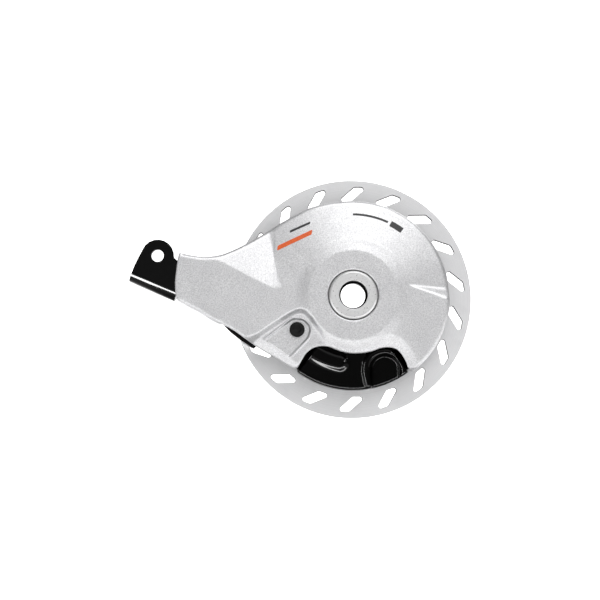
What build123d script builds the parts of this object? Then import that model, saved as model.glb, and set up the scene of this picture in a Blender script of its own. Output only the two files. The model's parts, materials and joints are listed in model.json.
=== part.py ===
"""Bicycle hub roller brake with cooling disc: brake arm plate, cam, rollers, shoes, drum and disc.

Millimetres. Origin: axle axis at the outboard face of the axle bush. X points away from the brake
arm, Y points inboard along the axle towards the hub, Z is up. Azimuths run from +X towards +Z.
"""

import os
from math import atan2, cos, degrees, radians, sin

from build123d import *

# ---- driving dimensions, mm -----------------------------------------------------------------

# Cooling disc and drum
disc_r = 65.0
disc_y = 20.0
disc_t = 2.5
slot_count = 18
slot_first_az = 9.4
slot_inner_r = 53.3
slot_outer_r = 61.5
slot_width = 4.8
slot_tilt = 42.0
slot_corner_r = 1.2
drum_in_r = 38.0
drum_out_r = 46.0
drum_rim_y = 15.5
drum_web_y = 29.0
drum_back_y = 32.0
disc_rivets = 9
disc_rivet_r = 48.4

# Axle bush and what turns on it
bush_bore_r = 7.55
bush_lip_r = 6.6
bush_clear_r = 8.9
bush_flange_r = 12.95
bush_body_r = 11.0
bush_lip_y = 5.0
bush_lip_end_y = 7.5
bush_end_y = 31.8
bush_groove_r = 10.2
running = 0.05

# Arm plate
plate_t = 2.5
case_r = 51.65
centre_y = 0.6
beam_y = 1.1
low_y = 5.0
rim_y = 5.2
case_skirt_y = 13.5
arm_skirt_y = 14.0

# Inner cover and anchor plate
cover_t = 1.5
cover_y = 11.5
cover_r = 49.08
cover_window_r = 50.4
cover_window_y = 7.65
cover_skirt_y = 18.0
anchor_y = 13.1
anchor_t = 2.0
cover_rivet_az = (30, 90, 150, 330)
cover_rivet_r = 43.0

# Cam, rollers and shoes
cam_base_r = 18.2
cam_contact_r = 19.18
cam_rise = 2.1
roller_pitch_r = 23.2
roller_r = 3.97
shoe_in_r = 27.22
shoe_out_r = 37.65
shoe_az = (90, 210, 330)
shoe_span = 110.0
roller_half_pitch = 30.0
works_y0 = 16.0
works_y1 = 28.0

# Link
link_y = 8.0
link_t = 3.0

# Return spring
spring_r = 16.2
spring_wire_r = 0.75
spring_y0 = 4.6
spring_y1 = 6.7
spring_pitch = 1.75
spring_end_az = -360 * (spring_y1 - spring_y0) / spring_pitch

# End bracket
bracket_y = 3.6
bracket_t = 3.0
clip_hole_at = (-104.4, 21.2)
clip_hole_r = 3.3
ear_r = 8.7
adjuster_hole_r = 3.25

# Grease port
port_at = (-29.9, -18.2)
plug_r = 4.1
port_r = 3.1

os.makedirs("parts", exist_ok=True)


# ---- helpers --------------------------------------------------------------------------------

def slab(face, y0, y1):
    """A flat sketch drawn in X and Z, made solid from y0 to y1."""
    return Rot(90, 0, 0) * (Pos(0, 0, -y1) * extrude(face, y1 - y0))


def bevelled_slab(face, y0, y1, bevel):
    """The same, with its outboard edge cut back at 45 degrees."""
    top = Rot(90, 0, 0) * (Pos(0, 0, -y0 - bevel) * extrude(face, bevel, taper=45))
    return slab(face, y0 + bevel, y1) + top


def turned(points):
    """A solid of revolution about the axle, from (radius, y) points."""
    return revolve(make_face(Polyline(*points, close=True)), Axis.Y)


def ring(r_in, r_out, y0, y1):
    return turned([(r_in, y0), (r_out, y0), (r_out, y1), (r_in, y1)])


def disc(r, y0, y1, at=(0.0, 0.0)):
    return slab(Pos(*at) * Circle(r), y0, y1)


def outline(points):
    return make_face(Polyline(*points, close=True))


def polar(r, az):
    return (r * cos(radians(az)), r * sin(radians(az)))


def turn(az):
    """The rotation that carries +X round to this azimuth."""
    return Rot(0, -az, 0)


def wedge(r, az0, az1):
    """A flat sector from the axle out to r."""
    steps = 12
    span = (az1 - az0) / steps
    rim = [polar(r, az0 + span * i) for i in range(steps + 1)]
    return outline([(0.0, 0.0)] + rim)


def save(node, shape):
    export_step(shape, "parts/" + node + ".step")


# ---- arm plate ------------------------------------------------------------------------------

arm_outline = [
    (-12.2, 50.2), (-22.7, 47.6), (-29.9, 44.5), (-38.3, 39.9), (-44.2, 35.7), (-49.5, 32.3),
    (-56.2, 28.7), (-63.4, 24.8), (-70.5, 21.9), (-77.7, 20.7), (-81.9, 20.8), (-87.3, 21.7),
    (-92.8, 22.9), (-93.9, 17.0), (-94.9, 7.5), (-94.7, -1.0), (-91.6, -4.4), (-87.5, -6.8),
    (-82.3, -9.9), (-77.1, -12.7), (-72.0, -15.3), (-65.6, -17.6), (-57.4, -23.2),
    (-50.3, -28.4), (-43.5, -32.2), (-35.9, -36.4), (-30.8, -39.2), (0.0, 0.0), (10.0, 30.0),
]

low_region = [
    (-56.5, -26.0), (-53.2, -22.9), (-47.5, -19.4), (-40.7, -14.9), (-35.1, -10.9),
    (-30.5, -8.7), (-26.6, -8.1), (-22.0, -12.1), (-16.5, -20.5), (-12.0, -23.5),
    (-7.1, -26.5), (0.0, -28.0), (8.0, -26.8), (14.2, -24.4), (19.5, -23.8), (25.0, -26.0),
    (29.5, -31.0), (32.5, -38.0), (32.5, -60.0), (-56.5, -60.0),
]

window_edge = [
    (28.7, -44.0), (28.6, -38.4), (28.2, -35.9), (25.7, -31.6), (22.7, -28.7), (18.5, -27.8),
    (14.3, -28.3), (9.1, -30.1), (2.4, -31.0), (-2.8, -30.8), (-7.9, -29.5), (-12.9, -27.6),
    (-17.2, -27.2), (-21.5, -28.3), (-24.9, -30.8), (-27.0, -34.2), (-28.7, -37.6),
    (-29.0, -44.0),
]

window_mouth = [(-32.1, -38.7), (-28.7, -37.0), (0.0, -36.0), (28.6, -37.5), (31.2, -38.9),
                (45.0, -70.0), (-45.0, -70.0)]

pocket = [(-22.8, -18.2), (-24.3, -22.3), (-33.5, -31.3), (-45.9, -23.6), (-33.2, -13.7),
          (-29.3, -12.4), (-25.2, -13.9)]

crease_from = (-79.0, 20.0)
crease_to = (-40.5, 3.0)


def dome(inset):
    """The round of the case: flat centre, step, cone and rim."""
    r = case_r - inset
    points = [
        (0.0, centre_y + inset), (22.0, centre_y + inset), (24.4, 1.6 + inset),
        (28.9, 1.8 + inset), (r - 2.2, rim_y + inset), (r - 0.6, rim_y + 1.0 + inset),
        (r, rim_y + 2.4 + inset), (r, case_skirt_y), (0.0, case_skirt_y),
    ]
    return turned(points)


def high_sector(inset):
    """The lower right of the case stays level with the arm, out to its rim."""
    r = case_r - inset
    points = [(20.0, beam_y + inset), (r - 2.4, beam_y + inset + 0.5),
              (r, beam_y + inset + 2.6), (r, case_skirt_y), (20.0, case_skirt_y)]
    face = make_face(Polyline(*points, close=True))
    shell = revolve(face, Axis.Y, 46 - inset * 2)
    return turn(-50 + inset) * turn(46 - inset * 2) * shell


def arm(inset):
    """The arm, with the facet along its upper edge that falls towards the case."""
    face = outline(arm_outline)
    if inset:
        face = offset(face, -inset, kind=Kind.INTERSECTION)
    body = bevelled_slab(face, beam_y + inset, arm_skirt_y, 1.0)
    dx = crease_to[0] - crease_from[0]
    dz = crease_to[1] - crease_from[1]
    along = degrees(atan2(dz, dx))
    cutter = Pos(40, -20, 30) * Box(160, 40, 60)
    cutter = Rot(-10.5, 0, 0) * cutter
    cutter = Rot(0, -along, 0) * cutter
    return body - Pos(crease_from[0], beam_y + inset, crease_from[1]) * cutter


def plate_form(inset):
    low = outline(low_region)
    if inset:
        low = offset(low, inset, kind=Kind.INTERSECTION)
    form = arm(inset) + dome(inset) + high_sector(inset)
    form -= slab(low, -5.0, low_y + inset)
    return form


def arm_plate():
    """A pressed shell: the form, less the same form set in by the sheet's thickness."""
    plate = plate_form(0) - plate_form(plate_t)
    # the skirt is shallower on the case than on the arm, and open where the link swings past
    plate -= Pos(0, 23.5, 0) * Box(116, 20, 140)
    swing = outline([(-72.0, 0.0), (-72.0, -60.0), (-28.0, -60.0), (-28.0, -28.0), (-40.0, 0.0)])
    plate -= slab(swing, 7.6, 30.0)
    plate -= slab(outline([(-100, -2.2), (-100, 19.2), (-90.0, 19.2), (-90.0, -2.2)]), 3.56, 30.0)
    # window over the inner cover
    window = outline(window_edge) + outline(window_mouth)
    plate -= slab(window, -5.0, 30.0)
    # seat for the bush flange
    plate -= disc(bush_flange_r + 0.35, -5.0, 1.8)
    plate -= disc(bush_body_r, -5.0, 10.0)
    # grease pocket: floor, thin lip on three sides, port
    floor_face = outline(pocket)
    rim_face = offset(floor_face, 1.1, kind=Kind.ARC)
    mouth = outline([(-47.0, -26.0), (-48.5, -22.0), (-33.4, -33.6), (-31.0, -34.5),
                     (-40.0, -42.0)])
    lip = slab(rim_face - mouth, low_y - 0.8, low_y + 0.5)
    plate = plate + lip
    plate -= slab(floor_face, -5.0, low_y + 0.3)
    plate -= disc(port_r, -5.0, 10.0, port_at)
    # hole that anchors the return spring's fixed leg
    plate -= disc(1.0, 2.1, 4.0, (spring_r, 0.0))
    return plate.solids().sort_by(SortBy.VOLUME)[-1]


# ---- end bracket ----------------------------------------------------------------------------

fold_from = (-118.65, 10.75)
fold_to = (-97.15, 1.15)
fold_r = 5.2
web_len = 26.6
web_y1 = 20.0


def arc_points(centre, r, az0, az1, steps=8):
    step = (az1 - az0) / steps
    return [(centre[0] + polar(r, az0 + step * i)[0], centre[1] + polar(r, az0 + step * i)[1])
            for i in range(steps + 1)]


def fold_place():
    """Frame at the fold's outer end: X along the fold, Z square to it, Y along the axle."""
    along = degrees(atan2(fold_to[1] - fold_from[1], fold_to[0] - fold_from[0]))
    return Pos(fold_from[0], 0, fold_from[1]) * Rot(0, -along, 0)


def end_bracket():
    """Ear with the clip hole, strap under the arm plate, web turned inboard, adjuster tab."""
    strap = [(-95.7, 20.6), (-95.3, 19.8), (-93.9, 18.6), (-91.5, 17.6), (-74.0, 14.6),
             (-72.0, 13.0), (-72.0, -6.0), (-74.0, -9.0), (-91.2, -1.0), (-93.65, -0.41)]
    ear = outline([fold_from, (-116.7, 15.9), (-114.4, 20.7)]
                  + arc_points(clip_hole_at, ear_r, 158, 12) + strap + [fold_to])
    body = slab(ear, bracket_y, bracket_y + bracket_t)
    place = fold_place()
    web_depth = web_y1 - bracket_y
    web = Pos(web_len / 2, bracket_y + web_depth / 2, -bracket_t / 2) * Box(
        web_len, web_depth, bracket_t)
    trim = Pos(web_len + 1.0, web_y1 + 1.0, -bracket_t / 2) * Rot(0, 0, 35) * Box(16, 12, 8)
    web -= trim
    # the round of the fold: what lies outside its outer radius is cut away from ear and web
    corner = Pos(web_len / 2, bracket_y, -bracket_t) * Box(80, fold_r * 2, fold_r * 2)
    corner -= Pos(web_len / 2, bracket_y + fold_r, fold_r - bracket_t) * Rot(0, 90, 0) * Cylinder(
        fold_r, 90)
    inner_r = fold_r - bracket_t
    heel = Pos(web_len / 2, bracket_y + bracket_t + inner_r / 2, inner_r / 2) * Box(
        web_len - 3.0, inner_r, inner_r)
    heel -= Pos(web_len / 2, bracket_y + fold_r, inner_r) * Rot(0, 90, 0) * Cylinder(inner_r, 90)
    tab = Pos(1.5, 14.3, 6.0) * Box(3.0, 11.4, 18.0)
    tab = fillet(tab.edges().filter_by(Axis.X).group_by(Axis.Z)[-1], 5.0)
    tab -= Pos(1.5, 14.3, 8.2) * Rot(0, 90, 0) * Cylinder(adjuster_hole_r, 8.0)
    body = body + place * web + place * heel - place * corner + place * tab
    body -= disc(clip_hole_r, -5.0, 15.0, clip_hole_at)
    return body


# ---- bush, plug, spring ---------------------------------------------------------------------

def axle_bush():
    """Turned bush: flange with a broken edge, bore, lip, clearance, groove for the snap ring."""
    return turned([
        (bush_bore_r, 0.0), (bush_flange_r - 0.9, 0.0), (bush_flange_r, 0.5),
        (bush_flange_r, 1.8), (bush_body_r, 1.8), (bush_body_r, 29.5), (bush_groove_r, 29.5),
        (bush_groove_r, 30.7), (bush_body_r, 30.7), (bush_body_r, bush_end_y - 0.5),
        (bush_body_r - 0.5, bush_end_y), (bush_clear_r, bush_end_y),
        (bush_clear_r, bush_lip_end_y), (bush_lip_r, bush_lip_end_y), (bush_lip_r, bush_lip_y),
        (bush_bore_r, bush_lip_y),
    ])


def snap_ring():
    """Open ring in the bush groove, with a gap for fitting it."""
    body = ring(bush_groove_r + running, 13.6, 29.55, 30.65)
    gap = outline([(0, 0), (-4.0, -20.0), (4.0, -20.0)])
    return body - slab(gap, 29.0, 31.0)


def port_plug():
    """Rubber plug: domed head, stem, and a bead that holds it behind the plate."""
    plug = turned([
        (0.0, 3.2), (plug_r - 1.0, 3.2), (plug_r - 0.3, 3.6), (plug_r, 4.3), (plug_r, low_y + 0.28),
        (port_r - 0.02, low_y + 0.28), (port_r - 0.02, 7.55), (port_r + 0.5, 7.9),
        (port_r - 0.3, 9.2), (0.0, 9.2),
    ])
    plug -= Pos(0, 3.0, 0) * Rot(90, 0, 0) * Cylinder(1.3, 1.4)
    return Pos(port_at[0], 0, port_at[1]) * plug


def return_spring():
    """Coil round the bush, one leg in the arm plate and the other in the link."""
    coil = Helix(pitch=spring_pitch, height=spring_y1 - spring_y0, radius=spring_r)
    wire_face = Plane(origin=coil @ 0, z_dir=coil % 0) * Circle(spring_wire_r)
    body = sweep(wire_face, path=coil, is_frenet=True)
    body = Pos(0, spring_y0, 0) * Rot(-90, 0, 0) * body
    end = polar(spring_r, spring_end_az)
    body += disc(spring_wire_r, 2.2, spring_y0, (spring_r, 0.0))
    body += Pos(spring_r, spring_y0, 0.0) * Sphere(spring_wire_r)
    body += disc(spring_wire_r, spring_y1, 10.5, end)
    body += Pos(end[0], spring_y1, end[1]) * Sphere(spring_wire_r)
    return body


def shoe_spring(y):
    """Open wire ring that draws the shoes in, one on each side of them."""
    body = revolve(Pos(33.0, y) * Circle(0.6), Axis.Y, 344)
    return turn(30 - 8) * body


# ---- inner cover, anchor plate, seal --------------------------------------------------------

recess_at = (17.2, -38.9)
recess_r = 7.6
arch_r = 10.4


def cover_form(inset):
    """Outer shape of the cover, less the inset all round."""
    form = disc(cover_r - inset, cover_y + inset, cover_skirt_y)
    window = wedge(cover_window_r - inset, 233 + inset, 306.5 - inset)
    window -= Circle(25.5 + inset)
    form += bevelled_slab(window, cover_window_y + inset, cover_skirt_y, 0.8)
    bump = outline(arc_points((0, 0), 40.4 - inset, 235 + inset, 263 - inset)
                   + arc_points((0, 0), 33.4 + inset, 263 - inset, 240 + inset))
    form += bevelled_slab(bump, 5.6 + inset, cover_skirt_y, 0.8)
    legs = outline([(6.9 + inset, -38.0), (6.4 + inset, -48.0 + inset),
                    (27.4 - inset, -42.0 + inset), (27.4 - inset, -38.0)])
    arch = Pos(*recess_at) * Circle(arch_r - inset) + legs
    arch = arch & Circle(cover_window_r - 1.2 - inset)
    form += slab(arch, 6.3 + inset, cover_skirt_y)
    half = recess_r - 0.2 + inset
    well = Pos(*recess_at) * (Circle(recess_r + inset) + Pos(0, -9.0) * Rectangle(half * 2, 18.0))
    form -= slab(well, -5.0, 10.2 + inset)
    return form


def inner_cover():
    """Pressed cover: flat face, window sector, ridge, arch round a well, skirt."""
    cover = cover_form(0) - cover_form(cover_t)
    cover -= disc(15.0, 0.0, 20.0)
    cover -= disc(3.0, 0.0, 20.0, port_at)
    for az in cover_rivet_az:
        cover -= disc(1.8, 0.0, 20.0, polar(cover_rivet_r, az))
    return cover.solids().sort_by(SortBy.VOLUME)[-1]


def anchor_plate():
    """Flat plate with a radial slot for each shoe's lug."""
    plate = ring(17.2, 47.3, anchor_y, anchor_y + anchor_t)
    for az in shoe_az:
        slot = slab(Pos(32.5, 0) * Rectangle(7.4, 6.1), 10.0, 20.0)
        plate -= turn(az) * slot
    for az in cover_rivet_az:
        plate -= disc(1.8, 10.0, 20.0, polar(cover_rivet_r, az))
    plate -= disc(3.0, 10.0, 20.0, port_at)
    return plate


def cover_rivets():
    """Flat-headed rivets that hold the anchor plate to the cover."""
    rivet = turned([(0.0, 11.1), (2.6, 11.1), (2.9, 11.45), (2.9, cover_y), (1.78, cover_y),
                    (1.78, anchor_y + anchor_t), (0.0, anchor_y + anchor_t)])
    return Compound([Pos(*_xz(cover_rivet_r, az)) * rivet for az in cover_rivet_az])


def _xz(r, az):
    x, z = polar(r, az)
    return (x, 0.0, z)


def dust_seal():
    """Lip seal between the anchor plate and the cam's hub."""
    return turned([(14.55, 14.2), (14.55, 14.9), (17.15, 14.9), (17.15, 13.05), (16.2, 13.05),
                   (16.2, 14.0)])


# ---- cam, link, cage, rollers, shoes --------------------------------------------------------

roller_az = [az + side * roller_half_pitch for az in shoe_az for side in (-1, 1)]


def cam_ring():
    """Hub with two flats for the link, and six ramps under the rollers."""
    rho = (cam_contact_r ** 2 + cam_rise ** 2) ** 0.5
    face = Circle(cam_base_r)
    for az in roller_az:
        lobe = Pos(*polar(cam_rise, az + 90)) * Circle(rho)
        sector = wedge(30.0, az - 13, az + 17)
        face += lobe & sector
    body = slab(face, works_y0, works_y1)
    body += disc(14.5, 11.2, works_y0)
    flats = Circle(14.5) & Rectangle(40.0, 25.0)
    body += slab(flats, link_y, 11.2)
    return body - disc(bush_body_r + running, 0.0, 40.0)


link_outline = [
    (-14.0, 12.0), (-30.0, 6.0), (-50.0, -2.0), (-68.0, -11.5), (-69.9, -14.9), (-65.9, -19.0),
    (-60.5, -23.4), (-53.2, -28.2), (-51.7, -27.0), (-50.6, -24.6), (-40.0, -16.6),
    (-28.0, -11.4), (-16.0, -10.0), (0.0, 0.0),
]


def brake_link():
    """Lever on the cam's hub, ending in a turned-in claw that takes the cable's end."""
    face = outline(link_outline) + Circle(18.4)
    face -= Circle(14.52) & Rectangle(40.0, 25.04)
    body = slab(face, link_y, link_y + link_t)
    lip = outline([(-69.9, -14.9), (-65.9, -19.0), (-60.5, -23.4), (-53.2, -28.2), (-51.7, -27.0),
                   (-52.4, -25.9), (-59.0, -20.7), (-64.2, -16.6), (-67.4, -12.9)])
    body += slab(lip, link_y, 17.0)
    stop = Pos(-58.0, -18.4) * Rot(0, 0, -37) * Rectangle(3.0, 8.6)
    body += slab(stop, link_y, 17.0)
    slot = Pos(-58.6, -17.2) * Rot(0, 0, -37) * Rectangle(8.0, 3.4)
    body -= slab(slot, 12.6, 15.0)
    return body - disc(spring_wire_r + 0.05, 0.0, 20.0, polar(spring_r, spring_end_az))


def roller_cage():
    """Ring with a window for each roller."""
    body = ring(21.6, 25.4, 15.7, 28.5)
    for az in roller_az:
        body -= turn(az) * Pos(23.5, 22.0, 0) * Box(8.0, 10.4, 8.3)
    return body


def roller(az):
    body = turned([(0.0, 17.0), (roller_r - 0.4, 17.0), (roller_r, 17.4), (roller_r, 26.6),
                   (roller_r - 0.4, 27.0), (0.0, 27.0)])
    return Pos(*_xz(roller_pitch_r, az)) * body


def brake_shoe(az):
    """Curved shoe with a lug for the anchor slot and grooves for the ring springs."""
    half = shoe_span / 2
    face = wedge(shoe_out_r, -half, half) & Circle(shoe_out_r)
    face -= Circle(shoe_in_r)
    body = slab(face, works_y0, works_y1)
    body += slab(Pos(32.5, 0) * Rectangle(6.4, 6.0), anchor_y + 0.1, works_y0 + 1.0)
    body -= ring(31.9, 34.1, works_y0, works_y0 + 1.5)
    body -= ring(31.9, 34.1, works_y1 - 1.5, works_y1 + 0.1)
    return turn(az) * body


def thrust_washer():
    return ring(bush_body_r + running, 17.0, 28.1, 29.4)


# ---- drum, disc, spline ---------------------------------------------------------------------

spline_count = 12


def brake_drum():
    """Cup that the shoes press on, with a web at the hub side and a flange for the disc."""
    body = turned([
        (20.0, drum_web_y), (drum_in_r - 0.8, drum_web_y), (drum_in_r, drum_web_y - 0.8),
        (drum_in_r, drum_rim_y), (drum_out_r, drum_rim_y), (drum_out_r, disc_y + disc_t),
        (51.5, disc_y + disc_t), (51.5, disc_y + disc_t + 2.0), (drum_out_r, disc_y + disc_t + 2.0),
        (drum_out_r, drum_back_y - 1.5), (drum_out_r - 1.5, drum_back_y), (20.0, drum_back_y),
    ])
    for i in range(disc_rivets):
        body -= disc(1.5, 20.0, 30.0, polar(disc_rivet_r, 360 / disc_rivets * i))
    return body


def cooling_disc():
    """Flat disc with slanted slots all round."""
    body = ring(drum_out_r + 0.02, disc_r, disc_y, disc_y + disc_t)
    mid = (slot_inner_r + slot_outer_r) / 2
    # parallelogram: tangential ends, long sides tilted from the tangent
    end_half = slot_width / sin(radians(slot_tilt)) / 2
    rise = (slot_outer_r - slot_inner_r) / 2
    lean = rise / sin(radians(slot_tilt)) * cos(radians(slot_tilt))
    corners = [(-rise, lean + end_half), (-rise, lean - end_half), (rise, -lean - end_half),
               (rise, -lean + end_half)]
    face = Pos(mid, 0) * outline(corners)
    face = fillet(face.vertices(), slot_corner_r)
    slot = slab(face, disc_y - 1.0, disc_y + disc_t + 1.0)
    for i in range(slot_count):
        body -= turn(slot_first_az + 360 / slot_count * i) * slot
    for i in range(disc_rivets):
        body -= disc(1.5, 15.0, 30.0, polar(disc_rivet_r, 360 / disc_rivets * i))
    return body


def disc_rivet_set():
    """Rivets that hold the disc to the drum's flange."""
    back = disc_y + disc_t + 2.0
    rivet = turned([(0.0, disc_y - 1.0), (1.6, disc_y - 1.0), (2.2, disc_y), (1.48, disc_y),
                    (1.48, back), (2.4, back), (1.9, back + 1.1), (0.0, back + 1.1)])
    return Compound([Pos(*_xz(disc_rivet_r, 360 / disc_rivets * i)) * rivet
                     for i in range(disc_rivets)])


def hub_spline_ring():
    """Internally splined ring in the drum's web that turns with the hub."""
    body = ring(16.4, 20.0, drum_web_y + 0.6, drum_back_y + 1.0)
    body += ring(20.0, 24.0, drum_back_y, drum_back_y + 1.0)
    for i in range(spline_count):
        tooth_space = Pos(16.4, 31.0, 0) * Box(3.2, 8.0, 4.0)
        body -= turn(360 / spline_count * i) * tooth_space
    return body


# ---- write every piece ----------------------------------------------------------------------

save("brake_arm_plate", arm_plate())
save("arm_end_bracket", end_bracket())
save("axle_bush", axle_bush())
save("bush_snap_ring", snap_ring())
save("grease_port_plug", port_plug())
save("return_spring", return_spring())
save("inner_cover", inner_cover())
save("anchor_plate", anchor_plate())
save("cover_rivets", cover_rivets())
save("dust_seal", dust_seal())
save("shoe_spring_outboard", shoe_spring(works_y0 + 0.75))
save("shoe_spring_inboard", shoe_spring(works_y1 - 0.75))
save("cam_ring", cam_ring())
save("brake_link", brake_link())
save("cam_thrust_washer", thrust_washer())
save("roller_cage", roller_cage())
for i, az in enumerate(roller_az):
    save("roller_%d" % (i + 1), roller(az))
for i, az in enumerate(shoe_az):
    save("brake_shoe_%d" % (i + 1), brake_shoe(az))
save("brake_drum", brake_drum())
save("cooling_disc", cooling_disc())
save("disc_rivets", disc_rivet_set())
save("hub_spline_ring", hub_spline_ring())
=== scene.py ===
"""Looks of a bicycle hub roller brake with cooling disc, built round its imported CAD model.

Lengths in the tables are millimetres in the row frame (X away from the arm, Y inboard, Z up);
every mesh is scaled to metres as it is made.
"""

import json
import math

import bmesh
import bpy
import numpy as np
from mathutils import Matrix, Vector, geometry


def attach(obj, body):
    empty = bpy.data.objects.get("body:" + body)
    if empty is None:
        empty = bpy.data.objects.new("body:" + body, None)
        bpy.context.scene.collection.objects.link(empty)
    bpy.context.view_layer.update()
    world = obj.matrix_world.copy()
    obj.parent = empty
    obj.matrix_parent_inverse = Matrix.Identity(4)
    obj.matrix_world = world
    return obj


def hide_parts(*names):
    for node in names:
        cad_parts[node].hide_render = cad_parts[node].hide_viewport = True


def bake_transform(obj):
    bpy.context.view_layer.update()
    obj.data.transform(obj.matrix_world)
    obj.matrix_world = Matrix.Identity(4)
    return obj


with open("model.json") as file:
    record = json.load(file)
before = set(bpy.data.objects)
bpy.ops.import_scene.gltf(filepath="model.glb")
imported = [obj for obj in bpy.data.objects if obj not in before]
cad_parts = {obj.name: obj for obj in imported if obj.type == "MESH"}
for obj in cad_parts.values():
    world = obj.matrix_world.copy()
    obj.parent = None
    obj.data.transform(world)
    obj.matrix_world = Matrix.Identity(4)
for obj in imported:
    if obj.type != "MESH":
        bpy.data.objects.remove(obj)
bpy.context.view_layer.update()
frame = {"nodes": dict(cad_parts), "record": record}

MM = 0.001
TAU = 2 * math.pi


# ---- plane curves -------------------------------------------------------------------------------

def polar(r, az, centre=(0.0, 0.0)):
    """The point at a radius and an azimuth in degrees."""
    a = math.radians(az)
    return (centre[0] + r * math.cos(a), centre[1] + r * math.sin(a))


def arc(r, az0, az1, step=0.7, centre=(0.0, 0.0)):
    """Points along an arc, both ends included."""
    n = max(3, int(abs(math.radians(az1 - az0)) * r / step) + 1)
    return [polar(r, az0 + (az1 - az0) * i / n, centre) for i in range(n + 1)]


def smooth(points, step=0.7):
    """A Catmull-Rom curve through the points, cut into short steps."""
    p = [np.array(q, float) for q in points]
    p = [2 * p[0] - p[1]] + p + [2 * p[-1] - p[-2]]
    out = []
    for i in range(1, len(p) - 2):
        n = max(1, int(round(np.linalg.norm(p[i + 1] - p[i]) / step)))
        for k in range(n):
            t = k / n
            out.append(0.5 * (2 * p[i] + (p[i + 1] - p[i - 1]) * t
                              + (2 * p[i - 1] - 5 * p[i] + 4 * p[i + 1] - p[i + 2]) * t * t
                              + (3 * p[i] - p[i - 1] - 3 * p[i + 1] + p[i + 2]) * t ** 3))
    out.append(p[-2])
    return [tuple(q) for q in out]


def rounded(corners, radius, step=0.5):
    """A closed polygon with every corner rounded; radius may be one number or one per corner."""
    most = 0.48         # share of an edge that one corner may take
    straight = 1.55     # half angle of a corner that needs no rounding
    out = []
    n = len(corners)
    for i in range(n):
        a, b, c = (np.array(corners[(i + k) % n], float) for k in (-1, 0, 1))
        r = radius[i] if isinstance(radius, (list, tuple)) else radius
        before, after = np.linalg.norm(a - b), np.linalg.norm(c - b)
        u, v = (a - b) / before, (c - b) / after
        half = math.acos(max(-1.0, min(1.0, float(u @ v)))) / 2
        if half > straight:
            out.append(tuple(b))
            continue
        reach = min(r / math.tan(half), most * before, most * after)
        r = reach * math.tan(half)
        mid = b + (u + v) / np.linalg.norm(u + v) * r / math.sin(half)
        p, q = b + u * reach - mid, b + v * reach - mid
        a0, a1 = math.atan2(p[1], p[0]), math.atan2(q[1], q[0])
        turn = (a1 - a0 + math.pi) % TAU - math.pi
        m = max(2, int(abs(turn) * r / step) + 2)
        for k in range(m + 1):
            at = a0 + turn * k / m
            out.append((mid[0] + r * math.cos(at), mid[1] + r * math.sin(at)))
    return out


def dense(loop, step):
    """The same closed loop with no edge longer than the step."""
    out = []
    for i, a in enumerate(loop):
        b = loop[(i + 1) % len(loop)]
        n = max(1, int(math.ceil(math.dist(a, b) / step)))
        out += [(a[0] + (b[0] - a[0]) * k / n, a[1] + (b[1] - a[1]) * k / n) for k in range(n)]
    return out


def distance(p, line, closed=False):
    """Distance from each point to a polyline."""
    q = np.array(line, float)
    if closed:
        q = np.vstack([q, q[:1]])
    best = np.full(len(p), 1e9)
    for a, b in zip(q[:-1], q[1:]):
        d = b - a
        length2 = float(d @ d)
        if length2 < 1e-12:
            continue
        t = np.clip(((p - a) @ d) / length2, 0, 1)
        best = np.minimum(best, np.linalg.norm(p - a - t[:, None] * d, axis=1))
    return best


def inside(p, loop):
    """Whether each point is inside a closed loop."""
    q = np.array(loop, float)
    hit = np.zeros(len(p), bool)
    for a, b in zip(q, np.roll(q, -1, axis=0)):
        cross = (a[1] > p[:, 1]) != (b[1] > p[:, 1])
        with np.errstate(divide="ignore", invalid="ignore"):
            x = (b[0] - a[0]) * (p[:, 1] - a[1]) / (b[1] - a[1]) + a[0]
        hit ^= cross & (p[:, 0] < x)
    return hit


def depth_in(p, loop):
    """Signed distance: positive inside the loop."""
    d = distance(p, loop, closed=True)
    return np.where(inside(p, loop), d, -d)


def ease(t):
    """Smooth step from 0 to 1."""
    t = np.clip(t, 0, 1)
    return t * t * (3 - 2 * t)


# ---- mesh builders ------------------------------------------------------------------------------

SQUARE_ON = 0.9995      # |normal.y| of a face that is square to the axle
MERGE = 1e-4
ROW_PITCH = 0.866       # rows of a triangular grid, as a share of its step
RIM_SHARES = (0.08, 0.3, 0.62, 1.0)     # rows of points across the rounding of an edge
EDGE_GAP = 0.42         # least distance of a grid point from an edge, as a share of the step
FINE_SHARE = 0.4        # step of the finer grid, as a share of the step
SKIRT_ROWS = 4
LEAST_SKIRT = 0.15


def link_mesh(name, bm):
    """Turns a bmesh into a linked object."""
    mesh = bpy.data.meshes.new(name)
    bm.to_mesh(mesh)
    bm.free()
    obj = bpy.data.objects.new(name, mesh)
    bpy.context.scene.collection.objects.link(obj)
    return obj


def new_piece(name, bm, body):
    """Makes a bmesh built in millimetres into a piece that rides a body."""
    bmesh.ops.scale(bm, vec=(MM, MM, MM), verts=bm.verts)
    obj = link_mesh(name, bm)
    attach(obj, body)
    return obj


def new_solid(name, bm, body):
    """A closed piece, smooth but for the faces square to the axle, whose long triangles would tint."""
    bmesh.ops.remove_doubles(bm, verts=bm.verts, dist=MERGE)
    bmesh.ops.recalc_face_normals(bm, faces=bm.faces)
    for face in bm.faces:
        face.smooth = abs(face.normal.y) < SQUARE_ON
    return new_piece(name, bm, body)


def new_shell(name, bm, thickness, body):
    """An open piece, smooth all over, that gets its sheet thickness inwards."""
    for face in bm.faces:
        face.smooth = True
    obj = new_piece(name, bm, body)
    sheet = obj.modifiers.new("sheet", "SOLIDIFY")
    sheet.thickness = thickness * MM
    sheet.offset = -1
    sheet.use_even_offset = False
    sheet.use_rim = True
    return obj


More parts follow.
